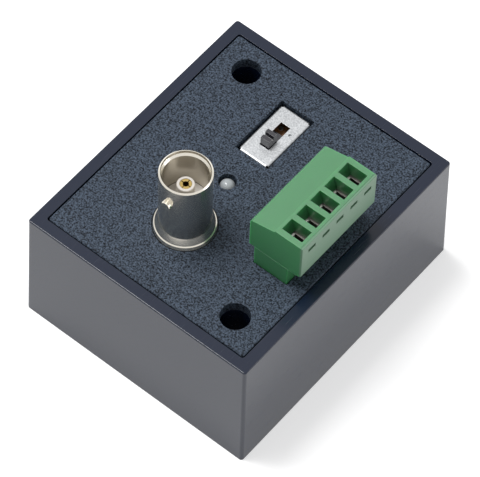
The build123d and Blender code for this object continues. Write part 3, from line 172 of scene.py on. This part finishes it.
def grain_group():
    """Noise of two sizes, as a height and as a mask of fine speckles."""
    group, given, out = new_group(
        "Moulded grain",
        [("Scale", FLOAT, 4000.0), ("Contrast", FLOAT, 0.5)],
        [("Height", FLOAT), ("Speckle", FLOAT)])
    place = node(group, "ShaderNodeTexCoord")
    fine = node(group, "ShaderNodeTexNoise", detail=3.0, roughness=0.6)
    join(group, place.outputs["Object"], fine.inputs["Vector"])
    join(group, given.outputs["Scale"], fine.inputs["Scale"])
    coarse_scale = node(group, "ShaderNodeMath", operation="MULTIPLY")
    coarse_scale.inputs[1].default_value = COARSE_SHARE
    join(group, given.outputs["Scale"], coarse_scale.inputs[0])
    coarse = node(group, "ShaderNodeTexVoronoi")
    join(group, place.outputs["Object"], coarse.inputs["Vector"])
    join(group, coarse_scale.outputs[0], coarse.inputs["Scale"])
    height = node(group, "ShaderNodeMath", operation="MULTIPLY_ADD")
    height.inputs[1].default_value = COARSE_HEIGHT
    join(group, coarse.outputs["Distance"], height.inputs[0])
    join(group, fine.outputs["Fac"], height.inputs[2])
    join(group, height.outputs[0], out.inputs["Height"])
    centred = node(group, "ShaderNodeMath", operation="SUBTRACT")
    centred.inputs[1].default_value = NOISE_MIDDLE
    join(group, fine.outputs["Fac"], centred.inputs[0])
    strength = node(group, "ShaderNodeMath", operation="MULTIPLY")
    join(group, centred.outputs[0], strength.inputs[0])
    join(group, given.outputs["Contrast"], strength.inputs[1])
    lifted = node(group, "ShaderNodeMath", operation="MULTIPLY_ADD", use_clamp=True)
    lifted.inputs[1].default_value = SPECKLE_GAIN
    lifted.inputs[2].default_value = NOISE_MIDDLE
    join(group, strength.outputs[0], lifted.inputs[0])
    join(group, lifted.outputs[0], out.inputs["Speckle"])
    return group


GRAIN = grain_group()
print("made group:", GRAIN.name)

# %% [markdown]
# ## Drift of colour, and painted edge highlights
# No moulded or plated piece has exactly one colour: the pigment flows and a little dust settles.
# The group takes a piece's colour and shifts it lighter and darker in broad, soft patches, and it
# paints a highlight on edges that stand out by lightening their colour. A CAD mesh has corners
# only at its edges, so the edges are found by comparing the true normal with one rounded over a
# small radius, and that rounded normal is given on as well, because no real edge is perfectly
# sharp.

# %% Drift group
EDGE_STARTS = 0.99
EDGE_IS_FULL = 0.8
MID_GREY = (0.5, 0.5, 0.5, 1.0)


def drift_and_highlight_group():
    """A colour with soft patches and painted edge highlights, and a normal that rounds the edges.
    """
    group, given, out = new_group(
        "Colour drift",
        [("Colour", COLOUR, MID_GREY), ("Patch scale", FLOAT, 120.0),
         ("Amount", FLOAT, 0.1), ("Edge", FLOAT, 0.15), ("Round", FLOAT, 0.1 * MM)],
        [("Colour", COLOUR), ("Rounded", VECTOR)])
    place = node(group, "ShaderNodeTexCoord")
    patches = node(group, "ShaderNodeTexNoise", detail=4.0, roughness=0.55)
    join(group, place.outputs["Object"], patches.inputs["Vector"])
    join(group, given.outputs["Patch scale"], patches.inputs["Scale"])
    swing = node(group, "ShaderNodeMath", operation="SUBTRACT")
    swing.inputs[1].default_value = NOISE_MIDDLE
    join(group, patches.outputs["Fac"], swing.inputs[0])
    amount = node(group, "ShaderNodeMath", operation="MULTIPLY")
    join(group, swing.outputs[0], amount.inputs[0])
    join(group, given.outputs["Amount"], amount.inputs[1])
    value = node(group, "ShaderNodeMath", operation="ADD")
    value.inputs[1].default_value = 1.0
    join(group, amount.outputs[0], value.inputs[0])
    drifted = node(group, "ShaderNodeHueSaturation")
    join(group, given.outputs["Colour"], drifted.inputs["Color"])
    join(group, value.outputs[0], drifted.inputs["Value"])
    surface = node(group, "ShaderNodeNewGeometry")
    rounded = node(group, "ShaderNodeBevel", samples=4)
    join(group, given.outputs["Round"], rounded.inputs["Radius"])
    alike = node(group, "ShaderNodeVectorMath", operation="DOT_PRODUCT")
    join(group, surface.outputs["Normal"], alike.inputs[0])
    join(group, rounded.outputs["Normal"], alike.inputs[1])
    edges = node(group, "ShaderNodeMapRange")
    edges.inputs["From Min"].default_value = EDGE_STARTS
    edges.inputs["From Max"].default_value = EDGE_IS_FULL
    join(group, alike.outputs["Value"], edges.inputs["Value"])
    # Painted highlight: edges that stand out get mid grey added to their colour.
    painted_edge_highlight = node(group, "ShaderNodeMath", operation="MULTIPLY", use_clamp=True)
    join(group, edges.outputs["Result"], painted_edge_highlight.inputs[0])
    join(group, given.outputs["Edge"], painted_edge_highlight.inputs[1])
    pale = node(group, "ShaderNodeMix", data_type="RGBA", blend_type="ADD")
    join(group, painted_edge_highlight.outputs[0], pale.inputs[MIX_FACTOR])
    join(group, drifted.outputs["Color"], pale.inputs[MIX_FIRST])
    pale.inputs[MIX_SECOND].default_value = MID_GREY
    join(group, pale.outputs[MIX_RESULT], out.inputs["Colour"])
    join(group, rounded.outputs["Normal"], out.inputs["Rounded"])
    return group


DRIFT_AND_EDGE_HIGHLIGHT = drift_and_highlight_group()
print("made group:", DRIFT_AND_EDGE_HIGHLIGHT.name)

# %% [markdown]
# ## Marks of handling
# Fingers leave smears that change only the gloss, and fine scratches cross them. Stretched noise
# gives both, and the group turns it into a roughness that varies round a middle value.

# %% Gloss group
SMEAR_SCALE = 260.0
SCRATCH_SCALE = 5200.0
SCRATCH_TURN = (0.4, 0.7, 0.9)
SCRATCH_STRETCH = (1.0, 0.05, 1.0)
SCRATCH_STARTS = 0.62
SCRATCH_IS_FULL = 0.72


def gloss_group():
    """A roughness that varies round a middle value, by smears and fine scratches."""
    group, given, out = new_group(
        "Handled gloss",
        [("Roughness", FLOAT, 0.3), ("Smears", FLOAT, 0.1), ("Scratches", FLOAT, 0.1)],
        [("Roughness", FLOAT)])
    place = node(group, "ShaderNodeTexCoord")
    smears = node(group, "ShaderNodeTexNoise", scale=SMEAR_SCALE, detail=3.0, distortion=1.2)
    join(group, place.outputs["Object"], smears.inputs["Vector"])
    slanted = node(group, "ShaderNodeMapping")
    slanted.inputs["Rotation"].default_value = SCRATCH_TURN
    slanted.inputs["Scale"].default_value = SCRATCH_STRETCH
    join(group, place.outputs["Object"], slanted.inputs["Vector"])
    hairs = node(group, "ShaderNodeTexNoise", scale=SCRATCH_SCALE, detail=1.0)
    join(group, slanted.outputs["Vector"], hairs.inputs["Vector"])
    fine = node(group, "ShaderNodeMapRange")
    fine.inputs["From Min"].default_value = SCRATCH_STARTS
    fine.inputs["From Max"].default_value = SCRATCH_IS_FULL
    join(group, hairs.outputs["Fac"], fine.inputs["Value"])
    smear_swing = node(group, "ShaderNodeMath", operation="SUBTRACT")
    smear_swing.inputs[1].default_value = NOISE_MIDDLE
    join(group, smears.outputs["Fac"], smear_swing.inputs[0])
    smeared = node(group, "ShaderNodeMath", operation="MULTIPLY_ADD")
    join(group, smear_swing.outputs[0], smeared.inputs[0])
    join(group, given.outputs["Smears"], smeared.inputs[1])
    join(group, given.outputs["Roughness"], smeared.inputs[2])
    scratched = node(group, "ShaderNodeMath", operation="MULTIPLY_ADD", use_clamp=True)
    join(group, fine.outputs["Result"], scratched.inputs[0])
    join(group, given.outputs["Scratches"], scratched.inputs[1])
    join(group, smeared.outputs[0], scratched.inputs[2])
    join(group, scratched.outputs[0], out.inputs["Roughness"])
    return group


GLOSS = gloss_group()
print("made group:", GLOSS.name)

# %% [markdown]
# ## Tool lines in metal
# Drawn sheet has lines along its rolling direction, and a turned part has fine rings round its
# axis. Noise that is squeezed along one axis only gives both, so one group serves all the metals.

# %% Tool line group
LINE_SCALE = 3000.0
RINGS_ROUND_Z = (0.02, 0.02, 1.0)
TURNS_ALONG_Y = (0.02, 1.0, 0.02)


def lines_group():
    """Lines across one axis: the stretch says how much finer they are along it."""
    group, given, out = new_group(
        "Tool lines",
        [("Scale", FLOAT, LINE_SCALE), ("Stretch", VECTOR, RINGS_ROUND_Z)],
        [("Lines", FLOAT)])
    place = node(group, "ShaderNodeTexCoord")
    stretched = node(group, "ShaderNodeVectorMath", operation="MULTIPLY")
    join(group, place.outputs["Object"], stretched.inputs[0])
    join(group, given.outputs["Stretch"], stretched.inputs[1])
    lines = node(group, "ShaderNodeTexNoise", detail=4.0, roughness=0.7)
    join(group, stretched.outputs["Vector"], lines.inputs["Vector"])
    join(group, given.outputs["Scale"], lines.inputs["Scale"])
    join(group, lines.outputs["Fac"], out.inputs["Lines"])
    return group


LINES = lines_group()
print("made group:", LINES.name)

# %% [markdown]
# ## One recipe for plastics, one for metals
# Most plastics here differ only in colour, gloss and grain, and most metals in colour, roughness
# and the direction of their tool lines. So there are two recipes with named values, and a finish
# is one call. Light passes a little way into the green plastic and comes out again, so that its
# deep wire entries aren't dark. Subsurface scattering does that, and its numbers are the same all
# over, so they are set on the shader.

# %% Recipes
GRAIN_CONTRAST = 1.0
GLOW_RADIUS = (0.3, 1.0, 0.4)
GLOW_REACH = 2.0 * MM
LINE_SHARE = 0.3
LINE_DEPTH = 0.01 * MM
# The share of painted highlight on the standing edges of every metal.
METAL_EDGE_HIGHLIGHT = 0.1
MOTTLE_SCALE = 3400.0
MOTTLE_CONTRAST = 0.9


def placed(tree, group, **values):
    """A group placed in a material, with values for its inputs."""
    made = tree.nodes.new("ShaderNodeGroup")
    made.node_tree = group
    for name, value in values.items():
        made.inputs[name.replace("_", " ").capitalize()].default_value = value
    return made


def started(name):
    """A new material, its tree and its shader."""
    material = bpy.data.materials.new(name)
    material.use_nodes = True
    return material, material.node_tree, material.node_tree.nodes["Principled BSDF"]


def plastic(name, colour, roughness, grain=4000.0, relief=0.1, depth=0.05, speckle=0.0,
            drift=0.12, edge=0.06, smears=0.06, scratches=0.08, ior=1.5, glow=0.0):
    """A moulded plastic: drifting colour, handled gloss and grain, and light that passes in."""
    material, tree, shader = started(name)
    shader.inputs["IOR"].default_value = ior
    shader.inputs["Subsurface Weight"].default_value = glow
    shader.inputs["Subsurface Radius"].default_value = GLOW_RADIUS
    shader.inputs["Subsurface Scale"].default_value = GLOW_REACH
    # The edge share paints a highlight on the plastic's standing edges.
    colours = placed(tree, DRIFT_AND_EDGE_HIGHLIGHT, colour=colour, amount=drift, edge=edge)
    grains = placed(tree, GRAIN, scale=grain, contrast=GRAIN_CONTRAST)
    speckled = blended(tree, "SOFT_LIGHT", speckle, colours.outputs["Colour"],
                       grains.outputs["Speckle"])
    join(tree, speckled, shader.inputs["Base Color"])
    gloss = placed(tree, GLOSS, roughness=roughness, smears=smears, scratches=scratches)
    join(tree, gloss.outputs["Roughness"], shader.inputs["Roughness"])
    bump = node(tree, "ShaderNodeBump", strength=relief, distance=depth * MM)
    join(tree, colours.outputs["Rounded"], bump.inputs["Normal"])
    join(tree, grains.outputs["Height"], bump.inputs["Height"])
    join(tree, bump.outputs["Normal"], shader.inputs["Normal"])
    return material


def metal(name, colour, roughness, stretch=RINGS_ROUND_Z, relief=0.15, drift=0.2, mottle=0.0,
          smears=0.12, scratches=0.1, rounding=0.1):
    """A plated or bare metal: drifting mottled colour, tool lines and handled gloss."""
    material, tree, shader = started(name)
    shader.inputs["Metallic"].default_value = 1.0
    colours = placed(tree, DRIFT_AND_EDGE_HIGHLIGHT, colour=colour, amount=drift, edge=METAL_EDGE_HIGHLIGHT, round=rounding * MM)
    lines = placed(tree, LINES, scale=LINE_SCALE, stretch=stretch)
    lined = blended(tree, "SOFT_LIGHT", LINE_SHARE, colours.outputs["Colour"],
                    lines.outputs["Lines"])
    grains = placed(tree, GRAIN, scale=MOTTLE_SCALE, contrast=MOTTLE_CONTRAST)
    mottled = blended(tree, "SOFT_LIGHT", mottle, lined, grains.outputs["Speckle"])
    join(tree, mottled, shader.inputs["Base Color"])
    gloss = placed(tree, GLOSS, roughness=roughness, smears=smears, scratches=scratches)
    join(tree, gloss.outputs["Roughness"], shader.inputs["Roughness"])
    bump = node(tree, "ShaderNodeBump", strength=relief, distance=LINE_DEPTH)
    join(tree, colours.outputs["Rounded"], bump.inputs["Normal"])
    join(tree, lines.outputs["Lines"], bump.inputs["Height"])
    join(tree, bump.outputs["Normal"], shader.inputs["Normal"])
    return material


# %% [markdown]
# ## The finishes
# The case was moulded in a polished tool and the lid in a sparked one, both in dark grey. A
# sparked surface breaks its gloss up, so the lid reflects little and shows its grain as lighter
# and darker colour. The terminal is a satin green. Its thin outer plate is a paler, greyer green,
# partly its own colour and partly painted sheen for the whitish haze on its right face. A clear
# coat on the grain was tried too and matched the photograph slightly less well. The metals are
# nickel, tin and zinc. Each gets its own values, read against the photograph.

# %% Finishes by material slot
FINISHES = {
    "case_plastic": plastic("case_plastic", shade(14, 25, 46), 0.2, relief=0.04, drift=0.08,
                            ior=1.46),
    "lid_plastic": plastic("lid_plastic", shade(55, 64, 76), 0.5, grain=3300.0, relief=1.0,
                           depth=0.1, speckle=1.0, ior=1.22),
    "nickel": metal("nickel", shade(222, 217, 205), 0.21, relief=0.0, smears=0.0,
                    scratches=0.0, rounding=0.0),
    "white_insulator": plastic("white_insulator", shade(205, 200, 194), 0.45),
    "gilt_contact": metal("gilt_contact", shade(160, 138, 84), 0.35, rounding=0.0),
    "lamp_epoxy": plastic("lamp_epoxy", shade(160, 165, 168), 0.12, relief=0.02, drift=0.1),
    "tinned_sheet": metal("tinned_sheet", shade(175, 177, 179), 0.38, relief=0.12, drift=0.3,
                          mottle=0.36),
    # The slider's large edge share paints bright highlights along its edges.
    "slider_plastic": plastic("slider_plastic", shade(44, 43, 50), 0.18, speckle=0.1, edge=0.5,
                              ior=1.65),
    "brown_laminate": plastic("brown_laminate", shade(150, 104, 66), 0.6, speckle=0.4),
    "terminal_green": plastic("terminal_green", shade(62, 131, 82), 0.36, glow=0.7, ior=1.75),
    # Partly painted sheen: the paler, greyer green stands in for the whitish haze on the plate's
    # right face.
    "terminal_cover_green": plastic("terminal_cover_green", shade(100, 136, 110), 0.38),
    "tinned_copper": metal("tinned_copper", shade(208, 206, 200), 0.4),
    "zinc_steel": metal("zinc_steel", shade(120, 116, 112), 0.35),
    "board_laminate": plastic("board_laminate", shade(18, 86, 48), 0.3, speckle=0.3),
    "ferrite": plastic("ferrite", shade(52, 52, 56), 0.65, relief=0.3, speckle=0.5),
    "bobbin_plastic": plastic("bobbin_plastic", shade(34, 34, 37), 0.4),
    "enamelled_copper": metal("enamelled_copper", shade(176, 96, 54), 0.28,
                              stretch=TURNS_ALONG_Y),
    "chip_epoxy": plastic("chip_epoxy", shade(30, 30, 32), 0.6, relief=0.4, speckle=0.3),
    "capacitor_sleeve": plastic("capacitor_sleeve", shade(36, 40, 62), 0.25),
    "arrester_ceramic": plastic("arrester_ceramic", shade(216, 208, 196), 0.2),
    "chip_ceramic": plastic("chip_ceramic", shade(140, 112, 84), 0.5, speckle=0.3),
}
for part in frame["record"]["subparts"]:
    mesh_object = frame["nodes"][part["node"]]
    mesh_object.data.materials.clear()
    mesh_object.data.materials.append(FINISHES[part["material_slot"]])
print("finishes:", len(FINISHES))

# %% [markdown]
# ## Floor and background
# The photograph has a plain white ground. A white floor that is only brightly lit would need so
# much light that the object would wash out. So the floor is pale, and what the camera and
# reflections see of it gets a little extra brightness from its own material, which leaves the
# object's shadow on it.

# %% Floor and world
FLOOR_SIZE = 3.0
FLOOR_GREY = (0.86, 0.86, 0.86, 1.0)
FLOOR_ROUGHNESS = 0.9
FLOOR_EXTRA = 0.45
WORLD_WHITE = (1.0, 1.0, 1.0, 1.0)
WORLD_LIGHT = 0.45
WORLD_SEEN = 1.0


def seen_directly(tree):
    """A mask that is 1 for rays from the camera, from gloss and through glass."""
    path = node(tree, "ShaderNodeLightPath")
    first = node(tree, "ShaderNodeMath", operation="MAXIMUM")
    join(tree, path.outputs["Is Camera Ray"], first.inputs[0])
    join(tree, path.outputs["Is Glossy Ray"], first.inputs[1])
    both = node(tree, "ShaderNodeMath", operation="MAXIMUM")
    join(tree, first.outputs[0], both.inputs[0])
    join(tree, path.outputs["Is Transmission Ray"], both.inputs[1])
    return both.outputs[0]


def add_floor():
    """A pale floor under the object that looks brighter than it lights."""
    mesh = bpy.data.meshes.new("floor")
    half = FLOOR_SIZE / 2
    corners = [(-half, -half, 0), (half, -half, 0), (half, half, 0), (-half, half, 0)]
    mesh.from_pydata(corners, [], [(0, 1, 2, 3)])
    floor = bpy.data.objects.new("floor", mesh)
    bpy.context.scene.collection.objects.link(floor)
    material, tree, shader = started("floor_white")
    shader.inputs["Roughness"].default_value = FLOOR_ROUGHNESS
    shader.inputs["Specular IOR Level"].default_value = 0.0
    shader.inputs["Base Color"].default_value = FLOOR_GREY
    glow = node(tree, "ShaderNodeEmission", strength=FLOOR_EXTRA)
    nothing = node(tree, "ShaderNodeEmission", strength=0.0)
    chosen = node(tree, "ShaderNodeMixShader")
    join(tree, seen_directly(tree), chosen.inputs[0])
    join(tree, nothing.outputs[0], chosen.inputs[1])
    join(tree, glow.outputs[0], chosen.inputs[2])
    total = node(tree, "ShaderNodeAddShader")
    join(tree, shader.outputs[0], total.inputs[0])
    join(tree, chosen.outputs[0], total.inputs[1])
    join(tree, total.outputs[0], tree.nodes["Material Output"].inputs["Surface"])
    mesh.materials.append(material)


def set_world():
    """A white surround: one strength lights the object, another is what is seen."""
    world = bpy.data.worlds.new("studio")
    world.use_nodes = True
    tree = world.node_tree
    background = tree.nodes["Background"]
    background.inputs["Color"].default_value = WORLD_WHITE
    strength = node(tree, "ShaderNodeMapRange")
    strength.inputs["To Min"].default_value = WORLD_LIGHT
    strength.inputs["To Max"].default_value = WORLD_SEEN
    join(tree, seen_directly(tree), strength.inputs["Value"])
    join(tree, strength.outputs["Result"], background.inputs["Strength"])
    bpy.context.scene.world = world


add_floor()
set_world()
print("floor and world are in place")

# %% [markdown]
# ## Soft studio light
# One large soft panel hangs over the case, a little to the left. It lights the upper faces
# without showing in them, since the camera looks from the other side, and it leaves the front end
# faces darker and the floor at the right in soft shadow. A weak second panel stands low at the
# right, for the bright outer edges of the switch and the terminal. The white surround and the
# floor give the side walls their sheen. Area lights give soft shadows, as the panels of a product
# photographer do.

# %% Lights
PANELS = {
    "top_panel": {"direction": (-0.4, -0.08, 1.0), "distance": 1.0, "size": 0.45, "power": 8.5},
    "side_panel": {"direction": (0.83, 0.44, 0.34), "distance": 1.2, "size": 0.4, "power": 1.8},
}


def add_panel(name, direction, distance, size, power):
    """A square soft light that looks at the object's middle from a direction."""
    data = bpy.data.lights.new(name, "AREA")
    data.shape = "SQUARE"
    data.size = size
    data.energy = power
    panel = bpy.data.objects.new(name, data)
    toward = Vector(direction).normalized()
    panel.location = Vector((0.0, 0.0, CASE_TOP)) + toward * distance
    panel.rotation_euler = toward.to_track_quat("Z", "Y").to_euler()
    bpy.context.scene.collection.objects.link(panel)


for name, values in PANELS.items():
    add_panel(name, **values)
